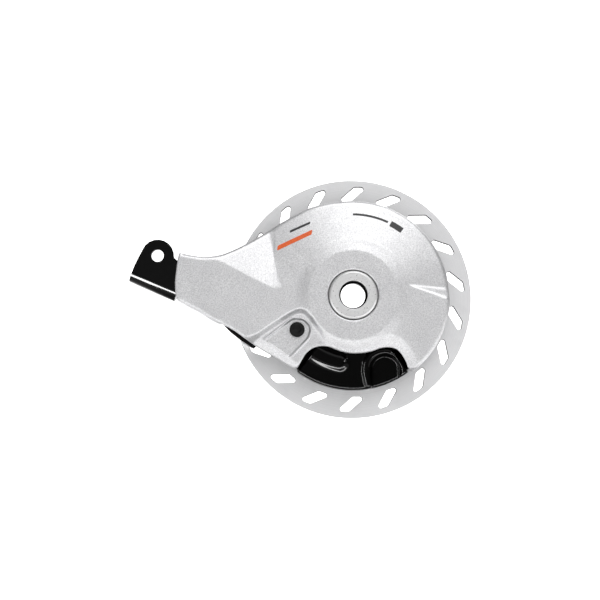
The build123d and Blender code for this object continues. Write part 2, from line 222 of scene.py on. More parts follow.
def sharpen(obj, angle=35):
    """Keeps edges sharper than the angle crisp in the shading."""
    flat = [abs(face.normal.y) > SQUARE_ON for face in obj.data.polygons]
    obj.data.set_sharp_from_angle(angle=math.radians(angle))
    for face, level in zip(obj.data.polygons, flat):
        face.use_smooth = not level


def lathe(bm, profile, segments=160, centre=(0.0, 0.0)):
    """Turns a closed (radius, y) profile about a line along the axle."""
    rings = []
    for r, y in profile:
        if r < 1e-6:
            rings.append([bm.verts.new((centre[0], y, centre[1]))] * segments)
            continue
        rings.append([bm.verts.new((centre[0] + r * math.cos(TAU * k / segments), y,
                                    centre[1] + r * math.sin(TAU * k / segments)))
                      for k in range(segments)])
    for i, a in enumerate(rings):
        b = rings[(i + 1) % len(rings)]
        for k in range(segments):
            quad = [a[k], a[(k + 1) % segments], b[(k + 1) % segments], b[k]]
            corners = list(dict.fromkeys(quad))
            if len(corners) >= 3:
                bm.faces.new(corners)


def soften(profile, r=0.25, steps=3):
    """Rounds every corner of a closed (radius, y) profile."""
    most = 0.45     # share of an edge that one corner may take
    out = []
    n = len(profile)
    for i in range(n):
        a, b, c = (np.array(profile[(i + k) % n], float) for k in (-1, 0, 1))
        if b[0] < 1e-6:
            out.append(tuple(b))
            continue
        before, after = np.linalg.norm(a - b), np.linalg.norm(c - b)
        reach = min(r, most * before, most * after)
        p = b + (a - b) / before * reach
        q = b + (c - b) / after * reach
        for k in range(steps + 1):
            t = k / steps
            out.append(tuple((1 - t) ** 2 * p + 2 * t * (1 - t) * b + t * t * q))
    return out


def on_sheet(p, loops):
    """Whether each point is inside the first loop and outside the others."""
    keep = inside(p, loops[0])
    for hole in loops[1:]:
        keep &= ~inside(p, hole)
    return keep


def edge_distance(p, loops):
    """Distance from each point to the nearest of the closed loops."""
    return np.min([distance(p, loop, closed=True) for loop in loops], axis=0)


def loop_normals(q):
    """Unit normals of a closed loop, to the left of its direction."""
    t = np.roll(q, -1, 0) - np.roll(q, 1, 0)
    t /= np.linalg.norm(t, axis=1)[:, None]
    return np.stack([-t[:, 1], t[:, 0]], 1)


def triangulate(loops, extra):
    """Triangles inside the first loop and outside the others, with extra points between."""
    points, edges = [], []
    for loop in loops:
        n0 = len(points)
        points += [Vector(p) for p in loop]
        edges += [(n0 + i, n0 + (i + 1) % len(loop)) for i in range(len(loop))]
    points += [Vector(p) for p in extra]
    verts, _, faces, _, _, _ = geometry.delaunay_2d_cdt(points, edges, [], 0, 1e-5)
    xy = np.array([tuple(v) for v in verts])
    tri = np.array([f for f in faces if len(f) == 3])
    return xy, tri[on_sheet(xy[tri].mean(axis=1), loops)]


def hexgrid(loop, step):
    """Points of a triangular grid over the loop's bounding box."""
    q = np.array(loop)
    lo, hi = q.min(0), q.max(0)
    rows = []
    for j, z in enumerate(np.arange(lo[1], hi[1], step * ROW_PITCH)):
        x = np.arange(lo[0] + (j % 2) * step / 2, hi[0], step)
        rows.append(np.stack([x, np.full(len(x), z)], 1))
    return np.vstack(rows)


def sheet_points(loops, step, rim_r, fine):
    """Points for a pressed sheet: a grid over its middle and rows along its rounded edges."""
    grid = hexgrid(loops[0], step)
    if fine:
        box, wanted = fine
        finer = hexgrid(box, step * FINE_SHARE)
        grid = np.vstack([grid[~wanted(grid)], finer[wanted(finer)]])
    gap = edge_distance(grid, loops)
    middle = on_sheet(grid, loops) & (gap > EDGE_GAP * step) & (gap >= rim_r(grid) * 1.1 + 0.2)
    points = [grid[middle]]
    for loop in loops:
        q = np.array(loop)
        normals = loop_normals(q)
        r = rim_r(q)
        for share in RIM_SHARES:
            for side in (1, -1):
                p = q + side * normals * (r * share)[:, None]
                clear = edge_distance(p, loops) > 0.93 * r * share
                points.append(p[on_sheet(p, loops) & clear])
    return np.vstack(points)


def add_skirt(bm, skirt):
    """Walls that run inboard from a sheet's open edges."""
    bm.edges.ensure_lookup_table()
    open_edges = [e for e in bm.edges if len(e.link_faces) == 1]
    ends = list({v for e in open_edges for v in e.verts})
    foot = skirt(np.array([(v.co.x, v.co.z) for v in ends]))
    column = {}
    for v, y1 in zip(ends, foot):
        if not np.isnan(y1):
            y0 = v.co.y
            drop = max(y1, y0 + LEAST_SKIRT) - y0
            column[v] = [v] + [bm.verts.new((v.co.x, y0 + drop * k / SKIRT_ROWS, v.co.z))
                               for k in range(1, SKIRT_ROWS + 1)]
    for e in open_edges:
        a, b = e.verts
        if a in column and b in column:
            for k in range(SKIRT_ROWS):
                bm.faces.new((column[a][k], column[b][k], column[b][k + 1], column[a][k + 1]))


def pressed_sheet(loops, height, skirt, step, rim_r, fine=None):
    """An open shell over the loops: y = height(points), its edge rounded over, then a skirt.

    rim_r says how large the rounding is at each edge point; skirt(points) gives the y that the
    wall under an edge reaches, or nan for none; fine is a box and a test for the points that get
    a finer grid.
    """
    xy, tri = triangulate(loops, sheet_points(loops, step, rim_r, fine))
    r = rim_r(xy)
    over = np.clip(1 - edge_distance(xy, loops) / r, 0, 1)
    y = height(xy) + r * (1 - np.sqrt(np.clip(1 - over ** 2, 0, 1))) * 0.98
    bm = bmesh.new()
    verts = [bm.verts.new((x, depth, z)) for (x, z), depth in zip(xy, y)]
    for a, b, c in tri:
        bm.faces.new((verts[a], verts[b], verts[c]))
    add_skirt(bm, skirt)
    bmesh.ops.remove_doubles(bm, verts=bm.verts, dist=MERGE)
    bmesh.ops.recalc_face_normals(bm, faces=bm.faces)
    # the shell is open, so its outer side is set by hand: it faces the viewer
    top = max(bm.faces, key=lambda f: f.calc_area() if abs(f.normal.y) > 0.9 else 0)
    if top.normal.y > 0:
        bmesh.ops.reverse_faces(bm, faces=bm.faces)
    return bm


def edge_section(y0, y1, bevel, steps=4):
    """(inset, y) points across a sheet's rounded edge, from one face to the other."""
    near = []
    for k in range(steps + 1):
        a = k / steps * math.pi / 2
        near.append((bevel * (1 - math.sin(a)), y0 + bevel * (1 - math.cos(a))))
    return near + [(inset, y1 - (y - y0)) for inset, y in reversed(near)]


def thick_flat(name, loops, y0, y1, bevel, body, slot):
    """A flat sheet part between y0 and y1 with all its edges rounded."""
    bm = bmesh.new()
    faces_at, flat = [], []
    for number, loop in enumerate(loops):
        q = np.array(loop)
        area = 0.5 * np.sum(q[:, 0] * np.roll(q[:, 1], -1) - np.roll(q[:, 0], -1) * q[:, 1])
        inward = loop_normals(q) * (1 if area > 0 else -1) * (1 if number == 0 else -1)
        rings = [[bm.verts.new((x, y, z)) for x, z in q + inward * inset]
                 for inset, y in edge_section(y0, y1, bevel)]
        for a, b in zip(rings[:-1], rings[1:]):
            for i in range(len(a)):
                j = (i + 1) % len(a)
                bm.faces.new((a[i], a[j], b[j], b[i]))
        faces_at.append((rings[0], rings[-1]))
        flat.append([tuple(p) for p in q + inward * bevel])
    at = np.array([p for loop in flat for p in loop])
    xy, tri = triangulate(flat, [])
    index = [int(np.argmin(np.sum((at - p) ** 2, axis=1))) for p in xy]
    for side in (0, 1):
        verts = [v for rings in faces_at for v in rings[side]]
        for triangle in tri:
            corners = [verts[index[i]] for i in triangle]
            if len(set(corners)) == 3 and not bm.faces.get(corners):
                bm.faces.new(corners)
    return new_solid(name, bm, body)


# ---- the arm plate ------------------------------------------------------------------------------

CASE_R = 51.6
PLATE_SHEET = 2.3
BUSH_HOLE_R = 13.35
PORT = (-29.9, -18.2)   # centre of the grease port
PORT_R = 3.2
OUTLINE_STEP = 0.75

case_arc = arc(CASE_R, -50.2, 97.0)
upper_edge = smooth([
    polar(CASE_R, 97.0), (-12.6, 50.6), (-22.7, 47.9), (-29.9, 44.4), (-38.3, 39.8), (-44.2, 36.0),
    (-49.5, 32.6), (-56.2, 28.6), (-63.4, 24.8), (-70.5, 21.9), (-77.7, 20.7), (-81.9, 20.8),
    (-87.3, 21.7), (-91.6, 22.6)])
tip_corner = smooth([(-91.6, 22.6), (-92.6, 22.6), (-93.1, 21.8)], 0.4)
tip_edge = smooth([
    (-93.1, 21.8), (-93.9, 17.0), (-94.6, 11.0), (-94.9, 7.5), (-94.8, 2.4), (-94.3, -1.0)])
tip_foot = smooth([(-94.3, -1.0), (-93.9, -2.4), (-92.9, -3.2)], 0.4)
lower_edge = smooth([
    (-92.9, -3.2), (-87.5, -6.2), (-81.6, -9.3), (-77.0, -12.4), (-72.0, -15.0), (-68.4, -16.0),
    (-62.9, -19.1), (-57.5, -23.0), (-50.3, -28.0), (-43.5, -32.0), (-35.9, -36.6), (-33.4, -38.1)])
lower_corner = smooth([
    (-33.4, -38.1), (-32.0, -38.8), (-30.6, -38.9), (-29.5, -38.3), (-28.8, -37.2)], 0.35)
window_edge = smooth([
    (-28.8, -37.2), (-27.0, -34.0), (-24.9, -30.8), (-21.5, -28.2), (-17.2, -27.1), (-12.9, -27.6),
    (-7.9, -29.5), (-2.8, -30.8), (2.4, -31.0), (9.1, -30.1), (14.3, -28.3), (18.5, -27.8),
    (22.7, -28.7), (25.7, -31.6), (27.9, -35.4), (28.6, -37.6)])
right_corner = smooth([
    (28.6, -37.6), (29.2, -38.6), (30.3, -39.4), (31.6, -39.6), polar(CASE_R, -50.2)], 0.35)

plate_loop = []
for run in (case_arc, upper_edge, tip_corner, tip_edge, tip_foot, lower_edge, lower_corner,
            window_edge, right_corner):
    plate_loop += run[:-1]
plate_loop = dense(plate_loop, OUTLINE_STEP)
bush_hole = arc(BUSH_HOLE_R, 0, 360, 0.6)[:-1]
port_hole = arc(PORT_R, 0, 360, 0.5, PORT)[:-1]

# the boss round the bush: its level, and the bank down from it to the raised flat
BOSS_LEVEL = 0.75
BOSS_R = 22.3
BOSS_BANK = 9.2
BOSS_FALL = 1.1
BEAD_R = 24.0           # a faint bead at the top of that bank
BEAD_WIDTH = 0.7
BEAD_HEIGHT = 0.06

# the cone: how it starts, how it slopes, and the crease that ends it on the right
CONE_R = 29.2
CONE_SLOPE = 0.178
CONE_KNEE = 1.7
ARM_KNEE = 0.8
CREASE_AT = (29.5, 5.3)
CREASE_SLOPE = 0.378
CREASE_RUN = 20.5
CREASE_WIDTH = 0.6
CREASE_GROWTH = 6.6

# the sunk level by the grease pocket and along the window, with the banks down to it
POCKET_DEPTH = 3.4
POCKET_BANK = 3.3
WINDOW_DEPTH = 1.9
WINDOW_BANK = 7.2

# the grease pocket's lip and floor, and its open side with the direction across it
LIP_HEIGHT = 0.7
LIP_WIDTH = 0.42
LIP_OUTSIDE = 0.65
FLOOR_DROP = 0.5
OPEN_SIDE = (-40.0, -28.4)
OPEN_WAY = (-0.56, -0.83)
TAIL_SLOPE = 0.3
TAIL_RUN = 9.0

# the raised flat: arm beam, middle and lower right, bounded above by the crease and the cone
flat_region = [(-130.0, 20.5), (-79.0, 20.0), (-69.9, 17.2), (-57.7, 10.6), (-41.7, 2.9),
               (-37.6, 3.6), (-31.0, 9.5), (-25.5, 15.5)]
flat_region += arc(CONE_R, 143, 12, 1.5)
flat_region += [(30.6, 4.7), (41.0, 1.2), (50.1, -1.9), (60.0, -5.3), (60.0, -70.0), (-130.0, -70.0)]
sunk_region = [(-60.5, -25.2), (-55.2, -22.6), (-50.6, -19.6), (-46.2, -16.6), (-40.7, -12.9),
               (-35.6, -9.5), (-31.5, -7.4), (-27.6, -6.6), (-24.4, -7.9), (-21.0, -11.5),
               (-17.6, -16.4), (-13.6, -20.0), (-7.1, -23.3), (0.0, -25.0), (8.0, -23.6),
               (14.2, -21.3), (19.5, -20.3), (24.0, -21.1), (27.6, -23.4), (31.2, -27.5),
               (34.0, -32.2), (36.8, -38.5), (38.0, -60.0), (-60.5, -60.0)]
pocket_floor = rounded([(-47.0, -24.0), (-34.2, -32.8), (-24.3, -22.6), (-22.4, -17.4),
                        (-26.5, -12.8), (-32.2, -12.4)], [1.4, 1.4, 5.0, 5.2, 4.8, 4.6])


def soft_start(run, knee):
    """A fall of one in one that begins with a soft knee."""
    return np.where(run < knee, run ** 2 / (2 * knee), run - knee / 2)


def boss_level(r):
    """The boss, the faint bead round it and the bank down to the raised flat."""
    bead = BEAD_HEIGHT * np.exp(-((r - BEAD_R) / BEAD_WIDTH) ** 2)
    return BOSS_LEVEL + BOSS_FALL * ease((r - BOSS_R) / BOSS_BANK) - bead


def cone_fall(p):
    """The cone that falls away from the raised flat, with a sharper knee along the arm's crease."""
    x, z = p[:, 0], p[:, 1]
    knee = np.where(x < -42, ARM_KNEE, CONE_KNEE)
    by_flat = soft_start(np.clip(-depth_in(p, flat_region), 0, None), knee)
    # on the right the cone runs on to the crease, and a bank that widens outwards ends it there
    by_radius = soft_start(np.clip(np.hypot(x, z) - CONE_R, 0, None), CONE_KNEE)
    along = x - CREASE_AT[0]
    crease = CREASE_AT[1] - along * CREASE_SLOPE
    width = CREASE_WIDTH + CREASE_GROWTH * np.clip(along / CREASE_RUN, 0, 1)
    bank = np.where(x > 27, ease((z - crease) / width), z > 0)
    return CONE_SLOPE * np.where(x > 5, by_radius * bank, by_flat)


def sunk_fall(x, depth):
    """The bank down to the sunk level, steep by the pocket and wide along the window."""
    window = ease((x + 19.0) / 6.0)
    level = POCKET_DEPTH + (WINDOW_DEPTH - POCKET_DEPTH) * window
    return level * ease(depth / (POCKET_BANK + (WINDOW_BANK - POCKET_BANK) * window))


def pocket_fall(p, depth):
    """The grease pocket: a thin raised lip round three sides of a slightly lower floor."""
    x, z = p[:, 0], p[:, 1]
    q = depth_in(p, pocket_floor)
    beyond = (x - OPEN_SIDE[0]) * OPEN_WAY[0] + (z - OPEN_SIDE[1]) * OPEN_WAY[1]
    lip = LIP_HEIGHT * np.exp(-((q + LIP_OUTSIDE) / LIP_WIDTH) ** 2) * (1 - ease((beyond + 1.2) / 2.0))
    # beyond the pocket's open side the sheet falls away to its lower edge
    tail = TAIL_SLOPE * np.clip(beyond - 0.6, 0, TAIL_RUN)
    tail *= ease((depth + 1.5) / 3.0) * ease((-24.0 - x) / 5.0)
    return FLOOR_DROP * ease((q + 0.1) / 0.6) - lip + tail


def arm_hollow(x, z):
    """The shallow hollow that the press leaves along the arm."""
    across = z - 6.0 - 0.18 * (x + 70)
    return 0.12 * np.exp(-(across / 6.0) ** 2) * ease((-50 - x) / 12)


def plate_height(p):
    """Depth of the plate's outer surface below the bush's face."""
    x, z = p[:, 0], p[:, 1]
    depth = depth_in(p, sunk_region)
    level = boss_level(np.hypot(x, z)) + cone_fall(p)
    return level + sunk_fall(x, depth) + pocket_fall(p, depth) + arm_hollow(x, z)


def by_pocket_lip(p):
    """True for the points on or near the lip of the grease pocket."""
    q = depth_in(p, pocket_floor)
    return (q > -1.9) & (q < 0.7)


def by_port(p):
    """True for the points round the grease port's hole."""
    return np.hypot(p[:, 0] - PORT[0], p[:, 1] - PORT[1]) < 5.0


def plate_rim(p):
    """Size of the rounding along the plate's edges."""
    x, z = p[:, 0], p[:, 1]
    r = np.hypot(x, z)
    window = (z < -24) & (r < 49.6) & (x > -30.5)
    tip = (x < -91.5) & (z > -2.5)
    lower = (x < -28.5) & (z < -15) & (x > -70)
    size = np.full(len(p), 1.9)
    for zone, rounding in ((window, 0.8), (tip, 0.7), (lower, 1.1), (r < BUSH_HOLE_R + 2.0, 0.9),
                           (by_port(p), 0.3)):
        size[zone] = rounding
    return size


def plate_skirt(p):
    """How far inboard the plate's wall reaches along its outline."""
    x, z = p[:, 0], p[:, 1]
    r = np.hypot(x, z)
    arm = x < -60
    lower = (z < -15.0) & (x < -28.0) & (x > -72.5)
    low_step = (x > -73.6) & (x <= -72.5) & (z < -10)
    high_step = (x > -74.6) & (x <= -73.6) & (z < -10)
    tip = (x < -92.8) & (z > -1.8) & (z < 20.0)
    window = (r < 50.4) & (z < -26.0) & (x > -29.8)
    reach = np.full(len(p), 13.3)
    for zone, y in ((arm, 13.8), (lower, 6.9), (low_step, 11.0), (high_step, 13.2), (tip, 3.0),
                    (window | (r < 15.0) | by_port(p), np.nan)):
        reach[zone] = y
    return reach


def build_plate():
    step = 0.62
    bm = pressed_sheet([plate_loop, bush_hole, port_hole], plate_height, plate_skirt, step,
                       plate_rim, ([(-51.0, -36.0), (-18.0, -8.0)], by_pocket_lip))
    obj = new_shell("arm_plate_pressing", bm, PLATE_SHEET, "brake_unit")
    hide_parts("brake_arm_plate")
    return obj


# ---- the black inner cover ----------------------------------------------------------------------

COVER_R = 49.0
WINDOW_R = 50.3         # radius of the cover across the window
COVER_SHEET = 1.3
COVER_LEVEL = 11.5      # depth of its plain face, and how far each shape stands above that
SECTOR_RISE = 3.85
BUMP_RISE = 0.95
ARCH_RISE = 1.5
NUB_RISE = 0.6
SKIRT_Y = 17.9
WELL = (17.2, -38.9)
WELL_R = 7.7
WELL_DEPTH = 2.9
NUB = (-4.2, -34.0)

arch_spine = smooth([(8.4, -47.6), (7.3, -43.4), (6.9, -38.6), (8.3, -34.0), (12.0, -30.8),
                     (17.0, -29.7), (22.0, -30.9), (25.7, -34.2), (27.2, -38.6), (27.4, -42.6)], 0.6)
bump_spine = arc(36.3, 236.0, 258.5, 0.8)


def cover_outline():
    """Round cover, a little larger across the window than under the case."""
    loop = arc(COVER_R, -52.0, 232.0, 0.7)
    loop += smooth([polar(COVER_R, 232.0), polar(COVER_R + 0.2, 232.8), polar(50.1, 233.6),
                    polar(WINDOW_R, 234.6)], 0.4)[1:-1]
    loop += arc(WINDOW_R, 234.6, 305.4, 0.7)
    loop += smooth([polar(WINDOW_R, 305.4), polar(50.1, 306.4), polar(COVER_R + 0.2, 307.2),
                    polar(COVER_R, 308.0)], 0.4)[1:-1]
    return dense(loop, OUTLINE_STEP)


def cover_height(p):
    """Depth of the cover: raised in the window's sector, with a kidney bump, an arch and a well."""
    x, z = p[:, 0], p[:, 1]
    r = np.hypot(x, z)
    az = np.degrees(np.arctan2(z, x)) % 360
    sector = np.minimum(np.minimum((az - 232.8) * r, (307.0 - az) * r) * math.pi / 180, r - 25.6)
    y = COVER_LEVEL - SECTOR_RISE * ease((sector + 0.2) / 1.8)
    y = y - BUMP_RISE * ease((5.8 - distance(p, bump_spine)) / 3.7)
    y = y - ARCH_RISE * ease((2.7 - distance(p, arch_spine)) / 1.9)
    # the well is round above its centre and straight-sided below
    aside = abs(x - WELL[0])
    well = WELL_R - np.hypot(x - WELL[0], z - WELL[1])
    well = np.where((z < WELL[1]) & (aside < WELL_R), WELL_R - aside, well)
    y = y + WELL_DEPTH * ease((well + 0.3) / 1.3)
    return y - NUB_RISE * ease((1.1 - np.hypot(x - NUB[0], z - NUB[1])) / 0.7)


def cover_skirt(p):
    """The cover's wall is round its outline only."""
    return np.where(np.hypot(p[:, 0], p[:, 1]) > 45, SKIRT_Y, np.nan)


def cover_rim(p):
    """Size of the rounding along the cover's edges."""
    return np.where(np.hypot(p[:, 0], p[:, 1]) > 40, 1.3, 0.3)


def build_cover():
    step = 0.65
    hub = arc(15.0, 0, 360, 0.8)[:-1]
    grease = arc(3.0, 0, 360, 0.5, PORT)[:-1]
    bm = pressed_sheet([cover_outline(), hub, grease], cover_height, cover_skirt, step, cover_rim)
    obj = new_shell("cover_pressing", bm, COVER_SHEET, "brake_unit")
    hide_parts("inner_cover")
    return obj


# ---- disc, drum, bush and small turned parts ----------------------------------------------------

DISC_R = 65.0
DISC_BORE_R = 46.1
DISC_Y = (20.0, 22.5)
DISC_ROUNDING = 0.22
SLOTS = 18
SLOT_FIRST = 9.4        # azimuth of the first slot, in degrees
SLOT_R = 57.4           # radius of the slots' middles
SLOT_HALF = 4.1         # half a slot's reach along the radius
SLOT_WIDTH = 4.8
SLOT_LEAN = math.radians(42)
SLOT_ROUNDING = [1.4, 1.9, 1.4, 1.9]
BORE_BLACK_R = 7.75
BORE_BLACK_Y = (0.2, 7.4)


def disc_loops():
    """The disc's rim, its bore and its leaning slots."""
    loops = [arc(DISC_R, 0, 360, 1.0)[:-1], arc(DISC_BORE_R, 0, 360, 1.0)[:-1]]
    end_half = SLOT_WIDTH / math.sin(SLOT_LEAN) / 2
    lean = SLOT_HALF / math.tan(SLOT_LEAN)
    base = rounded([(-SLOT_HALF, lean + end_half), (-SLOT_HALF, lean - end_half),
                    (SLOT_HALF, -lean - end_half), (SLOT_HALF, -lean + end_half)], SLOT_ROUNDING, 0.35)
    for k in range(SLOTS):
        a = math.radians(SLOT_FIRST + 360 / SLOTS * k)
        c, s = math.cos(a), math.sin(a)
        loops.append([((SLOT_R + u) * c - v * s, (SLOT_R + u) * s + v * c) for u, v in base])
    return loops


def build_disc():
    loops = [dense(loop, 0.9) for loop in disc_loops()]
    obj = thick_flat("slotted_disc", loops, *DISC_Y, DISC_ROUNDING, "drum", "aluminium")
    sharpen(obj)
    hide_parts("cooling_disc")
    return obj


def turned_piece(name, profile, body, node, r=0.25, segments=160, centre=(0.0, 0.0)):
    """A lathe-turned piece that shows a node; r is the rounding of its corners."""
    bm = bmesh.new()
    lathe(bm, soften(profile, r), segments, centre)
    obj = new_solid(name, bm, body)
    sharpen(obj)
    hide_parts(node)
    return obj


def build_bush():
    return turned_piece("bush_turned", [
        (7.55, 0.0), (12.0, 0.0), (12.9, 0.65), (12.9, 1.8), (11.0, 1.8), (11.0, 29.5),
        (10.2, 29.5), (10.2, 30.7), (11.0, 30.7), (11.0, 31.8), (8.9, 31.8), (8.9, 7.5),
        (6.6, 7.5), (6.6, 5.0), (7.55, 5.0)],
        "brake_unit", "axle_bush")


def build_drum():
    return turned_piece("drum_turned", [
        (20.0, 29.0), (38.0, 29.0), (38.0, 15.5), (46.0, 15.5), (46.0, 22.5), (51.4, 22.5),
        (51.4, 24.5), (46.6, 24.5), (46.0, 25.2), (46.0, 32.0), (43.0, 32.0), (42.0, 31.4),
        (28.5, 31.4), (27.5, 32.0), (20.0, 32.0)],
        "drum", "brake_drum", 0.5)


def build_plug():
    """Rubber plug: flat head with a dished middle, shown to its bead."""
    return turned_piece("plug_moulded", [
        (0.0, 3.75), (1.8, 3.7), (2.1, 3.2), (3.2, 3.2), (3.95, 3.9), (4.05, 5.2), (3.05, 5.3),
        (3.05, 7.6), (3.5, 7.9), (2.8, 9.1), (0.0, 9.1)],
        "brake_unit", "grease_port_plug", 0.3, 64, PORT)


def build_spring():
    """Return spring, a copy of its CAD node's mesh; on the brake one leg stays in the plate and the
    other turns with the cam's link.
    """
    mesh = frame["nodes"]["return_spring"].data.copy()
    obj = bpy.data.objects.new("return_spring_wire", mesh)
    bpy.context.scene.collection.objects.link(obj)
    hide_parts("return_spring")
    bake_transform(obj)
    mesh.materials.clear()
    return obj


plate = build_plate()
cover = build_cover()
disc = build_disc()
bush = build_bush()
spring = build_spring()
drum = build_drum()
plug = build_plug()


# ---- plain stripes ------------------------------------------------------------------------------

STRIPE_PROUD = 0.04
STRIPE_BURIED = 0.05


def stripe(name, corners):
    """A thin printed patch that follows the plate, a few hundredths of a millimetre proud."""
    loop = dense(rounded(corners, 0.35, 0.2), 0.5)
    grid = hexgrid(loop, 0.7)
    xy, tri = triangulate([loop], grid[inside(grid, loop)])
    y = plate_height(xy)
    bm = bmesh.new()
    top = [bm.verts.new((x, depth - STRIPE_PROUD, z)) for (x, z), depth in zip(xy, y)]
    foot = [bm.verts.new((x, depth + STRIPE_BURIED, z)) for (x, z), depth in zip(xy, y)]
    for a, b, c in tri:
        bm.faces.new((top[a], top[b], top[c]))
        bm.faces.new((foot[c], foot[b], foot[a]))
    for e in [e for e in bm.edges if len(e.link_faces) == 1 and e.verts[0] in set(top)]:
        a, b = (top.index(v) for v in e.verts)
        bm.faces.new((top[a], top[b], foot[b], foot[a]))
    obj = new_solid(name, bm, "brake_unit")
    sharpen(obj)
    return obj


def slanted_bar(centre, length, width, angle, lean=0.35):
    """Corners of a leaning bar, turned by the angle about its centre."""
    c, s = math.cos(math.radians(angle)), math.sin(math.radians(angle))
    slip = lean * width
    box = [(-length / 2 - slip, -width / 2), (length / 2 - slip, -width / 2),
           (length / 2 + slip, width / 2), (-length / 2 + slip, width / 2)]
    return [(centre[0] + x * c - z * s, centre[1] + x * s + z * c) for x, z in box]


def curved_bar(r0, r1, az0, az1):
    """Outline of a bar that runs round the axle."""
    return arc(r0, az0, az1, 1.5) + arc(r1, az1, az0, 1.5)


stripe_orange = stripe("stripe_orange", slanted_bar((-31.2, 29.8), 20.5, 2.3, 25.0))
stripe_short = stripe("stripe_dark_short", slanted_bar((-28.3, 36.9), 12.0, 1.2, 24.0))
stripe_long = stripe("stripe_dark_long", curved_bar(43.2, 44.4, 90.0, 64.5))
stripe_block = stripe("stripe_dark_block", curved_bar(42.2, 45.4, 62.5, 53.0))


# ---- materials ----------------------------------------------------------------------------------

class Nodes:
    """Short names for building a node tree."""

    def __init__(self, name):
        self.mat = bpy.data.materials.new(name)
        self.mat.use_nodes = True
        self.tree = self.mat.node_tree
        self.shader = self.tree.nodes["Principled BSDF"]

    def add(self, kind, **values):
        """A new node; each value goes to the input of that name, or else to the property."""
        node = self.tree.nodes.new(kind)
        for key, value in values.items():
            if key in node.inputs:
                node.inputs[key].default_value = value
            else:
                setattr(node, key, value)
        return node

    def link(self, source, target):
        self.tree.links.new(source, target)

    def set(self, **values):
        """Values of the shader's inputs, with _ for a space in their names."""
        for key, value in values.items():
            self.shader.inputs[key.replace("_", " ")].default_value = value

    def noise(self, vector, scale, detail=3.0, roughness=0.5):
        node = self.add("ShaderNodeTexNoise", Scale=scale, Detail=detail, Roughness=roughness)
        self.link(vector, node.inputs["Vector"])
        return node.outputs["Fac"]

    def ramp(self, value, stops):
        """A colour ramp from (position, colour) stops."""
        node = self.add("ShaderNodeValToRGB")
        while len(node.color_ramp.elements) < len(stops):
            node.color_ramp.elements.new(0.5)
        for element, (at, colour) in zip(node.color_ramp.elements, stops):
            element.position = at
            element.color = (*colour, 1.0)
        self.link(value, node.inputs["Fac"])
        return node.outputs["Color"]

    def span(self, value, lo, hi, from_lo, from_hi):
        """Maps the value from one range to another."""
        node = self.add("ShaderNodeMapRange")
        node.inputs["From Min"].default_value = from_lo
        node.inputs["From Max"].default_value = from_hi
        node.inputs["To Min"].default_value = lo
        node.inputs["To Max"].default_value = hi
        self.link(value, node.inputs["Value"])
        return node.outputs["Result"]

    def mix(self, a, b, fac):
        node = self.add("ShaderNodeMix", data_type="RGBA")
        for source, index in ((fac, 0), (a, 6), (b, 7)):
            if hasattr(source, "node"):
                self.link(source, node.inputs[index])
            else:
                node.inputs[index].default_value = source
        return node.outputs[2]

    def bump(self, heights):
        """Bumps in a row, each (value, strength, depth in metres)."""
        last = None
        for value, strength, depth in heights:
            node = self.add("ShaderNodeBump", Strength=strength, Distance=depth)
            self.link(value, node.inputs["Height"])
            if last:
                self.link(last, node.inputs["Normal"])
            last = node.outputs["Normal"]
        self.link(last, self.shader.inputs["Normal"])

    def place(self):
        """Position in the object's own frame."""
        return self.add("ShaderNodeTexCoord").outputs["Object"]

    def radius(self):
        """Distance from the axle's line and place along it, so that marks run round the axle."""
        split = self.add("ShaderNodeSeparateXYZ")
        self.link(self.place(), split.inputs[0])
        join = self.add("ShaderNodeCombineXYZ")
        self.link(split.outputs["X"], join.inputs["X"])
        self.link(split.outputs["Z"], join.inputs["Y"])
        length = self.add("ShaderNodeVectorMath", operation="LENGTH")
        self.link(join.outputs[0], length.inputs[0])
        turned = self.add("ShaderNodeCombineXYZ")
        self.link(length.outputs["Value"], turned.inputs["X"])
        self.link(split.outputs["Y"], turned.inputs["Y"])
        return turned.outputs[0]


def metallic_paint(name, dark, light, rough):
    """Silver paint: metal flakes, soft mottling and a fine texture."""
    n = Nodes(name)
    at = n.place()
    flake = n.noise(at, 1700.0, 2.0, 0.7)
    mottle = n.noise(at, 95.0, 3.0, 0.55)
    grain = n.noise(at, 1050.0, 4.0, 0.6)
    middle = tuple((a + b) / 2 for a, b in zip(dark, light))
    patch = (dark[0] * 0.9, dark[1] * 0.9, dark[2] * 0.92, 1.0)
    colour = n.ramp(flake, [(0.32, dark), (0.52, middle), (0.72, light)])
    shade = n.mix(colour, patch, n.span(mottle, 0.0, 0.22, 0.35, 0.75))
    n.link(shade, n.shader.inputs["Base Color"])
    n.link(n.span(grain, rough - 0.06, rough + 0.10, 0.3, 0.7), n.shader.inputs["Roughness"])
    n.set(Metallic=0.68, Coat_Weight=0.1, Coat_Roughness=0.25)
    n.bump([(grain, 0.55, 0.00007), (flake, 0.45, 0.00005)])
    return n.mat


def turned_metal(name, colour, rough, ring_scale, strength=0.25, metal=1.0):
    """Metal cut on a lathe: fine rings about the axle, with faint handling marks."""
    n = Nodes(name)
    radial = n.radius()
    rings = n.noise(radial, ring_scale, 3.0, 0.65)
    fine = n.noise(n.place(), 900.0, 3.0, 0.6)
    marks = n.noise(n.place(), 130.0, 4.0, 0.6)
    low = tuple(c * 0.78 for c in colour)
    worn = (*(c * 0.7 for c in colour), 1.0)
    base = n.mix(n.ramp(rings, [(0.3, low), (0.7, colour)]), worn, n.span(marks, 0.0, 0.3, 0.5, 0.8))
    n.link(base, n.shader.inputs["Base Color"])
    n.link(n.span(fine, rough - 0.05, rough + 0.1, 0.3, 0.7), n.shader.inputs["Roughness"])
    n.set(Metallic=metal)
    n.bump([(rings, strength, 0.00004), (fine, 0.1, 0.00002)])
    return n.mat


